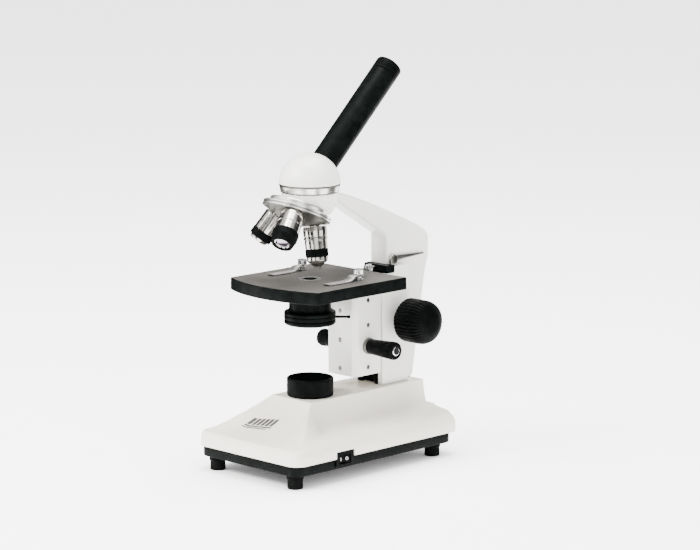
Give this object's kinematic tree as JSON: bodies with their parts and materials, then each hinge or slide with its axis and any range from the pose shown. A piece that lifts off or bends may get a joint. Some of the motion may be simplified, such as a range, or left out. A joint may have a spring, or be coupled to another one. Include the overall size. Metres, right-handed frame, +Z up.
{
  "type": "microscope",
  "caption": "Student compound microscope: inclined eyepiece tube, turning nosepiece with objectives, sliding stage with clips, condenser, lamp in the base, coarse and fine focus.",
  "frame": {"origin": "middle of the footprint of the whole object, on the surface that it stands on", "axes": "+Z up, +Y towards the arm at the back, +X towards the side with the switch and the long fine-focus knob"},
  "size_m": [0.1352, 0.231, 0.3753],
  "materials": {
    "enamel": "semi-gloss warm white enamel",
    "black_enamel": "satin black enamel",
    "stage_black": "matt black anodised top",
    "moulded_white": "moulded warm white plastic",
    "black_plastic": "satin black plastic",
    "rubber": "matt black rubber",
    "chrome": "polished chrome plate",
    "steel": "turned steel",
    "brass": "turned brass",
    "glass": "polished optical glass"
  },
  "bodies": {
    "stand": {"base_shell": "moulded_white", "base_plate": "black_enamel", "foot_front_left": "rubber", "foot_front_right": "rubber", "foot_back_left": "rubber", "foot_back_right": "rubber", "lamp_collar": "black_plastic", "collector_lens": "glass", "lamp_socket": "black_plastic", "lamp_bulb": "glass", "switch_bezel": "black_plastic", "power_inlet": "black_plastic", "arm": "enamel", "guide_rail": "black_enamel", "guide_cap": "black_enamel", "nosepiece_mount": "chrome", "nosepiece_pivot": "steel", "coarse_bush_left": "brass", "coarse_bush_right": "brass"},
    "switch": {"switch_rocker": "black_plastic"},
    "carriage": {"carriage_block": "enamel", "rack": "steel", "fine_collar_left": "chrome", "fine_collar_right": "chrome"},
    "coarse_focus": {"coarse_shaft": "steel", "coarse_pinion": "brass", "coarse_knob_left": "black_plastic", "coarse_knob_right": "black_plastic"},
    "fine_focus": {"fine_shaft": "steel", "fine_cam": "brass", "fine_knob_left": "black_plastic", "fine_knob_right": "black_plastic", "fine_knob_cap": "chrome"},
    "stage": {"stage_plate": "stage_black", "stage_ring": "steel", "stage_bracket": "steel", "clip_post_left": "chrome", "clip_post_right": "chrome", "condenser_body": "black_enamel", "condenser_lens": "glass"},
    "left_clip": {"clip_left": "chrome"},
    "right_clip": {"clip_right": "chrome"},
    "iris": {"iris_ring": "black_enamel", "iris_blades": "black_enamel"},
    "head": {"head_band": "chrome", "head_dome": "enamel", "eyepiece_tube": "black_enamel", "prism": "glass"},
    "eyepiece_unit": {"eyepiece": "black_plastic", "eye_lens": "glass"},
    "nosepiece": {"nosepiece_disc": "chrome", "objective_40x": "chrome", "objective_40x_grip": "black_plastic", "objective_10x": "chrome", "objective_10x_grip": "black_plastic", "objective_4x": "chrome", "objective_4x_grip": "black_plastic"},
    "lever": {"clamp_lever": "chrome"},
    "thumbscrew": {"stop_screw": "chrome"}
  },
  "joints": [
    {"name": "carriage_slide", "type": "slide", "parent": "stand", "child": "carriage", "axis": [0, 0, 1], "range_m": [-0.0115, 0.007]},
    {"name": "coarse_spin", "type": "hinge", "parent": "stand", "child": "coarse_focus", "pos_m": [0, 0.0652, 0.1295], "axis": [1, 0, 0], "range_deg": [-58, 95]},
    {"name": "fine_spin", "type": "hinge", "parent": "carriage", "child": "fine_focus", "pos_m": [0, 0.0237, 0.1085], "axis": [1, 0, 0], "range_deg": [-150.5, 150.5]},
    {"name": "stage_fine", "type": "slide", "parent": "carriage", "child": "stage", "axis": [0, 0, 1], "range_m": [-0.00075, 0.00075]},
    {"name": "nosepiece_turn", "type": "hinge", "parent": "stand", "child": "nosepiece", "pos_m": [0, -0.0493, 0.2416], "axis": [0, 0.4067, 0.9135], "continuous": true},
    {"name": "head_swivel", "type": "hinge", "parent": "stand", "child": "head", "pos_m": [0, -0.0328, 0.2656], "axis": [0, 0, 1], "continuous": true},
    {"name": "eyepiece_lift", "type": "slide", "parent": "head", "child": "eyepiece_unit", "axis": [0, 0.7193, 0.6947], "range_m": [0, 0.038]},
    {"name": "iris_turn", "type": "hinge", "parent": "stage", "child": "iris", "pos_m": [0, -0.0328, 0.14], "axis": [0, 0, 1], "range_deg": [-60, 45]},
    {"name": "left_clip_swing", "type": "hinge", "parent": "stage", "child": "left_clip", "pos_m": [-0.037, -0.0068, 0.178], "axis": [0, 0, 1], "range_deg": [-45, 30]},
    {"name": "right_clip_swing", "type": "hinge", "parent": "stage", "child": "right_clip", "pos_m": [0.037, -0.0068, 0.178], "axis": [0, 0, 1], "range_deg": [-30, 45]},
    {"name": "switch_rock", "type": "hinge", "parent": "stand", "child": "switch", "pos_m": [0.0635, -0.05355, 0.0213], "axis": [0, 0, 1], "range_deg": [0, 16]},
    {"name": "lever_turn", "type": "hinge", "parent": "stand", "child": "lever", "pos_m": [0.0113, 0.0646, 0.1845], "axis": [1, 0, 0], "range_deg": [0, 45]},
    {"name": "stop_screw_turn", "type": "hinge", "parent": "stand", "child": "thumbscrew", "pos_m": [0.0037, 0.0366, 0.178], "axis": [0, 1, 0], "continuous": true}
  ],
  "couplings": [
    {"joint": "coarse_spin", "follows": "carriage_slide", "rad_per_m": -142.86},
    {"joint": "fine_spin", "follows": "stage_fine", "rad_per_m": 3490.7}
  ]
}
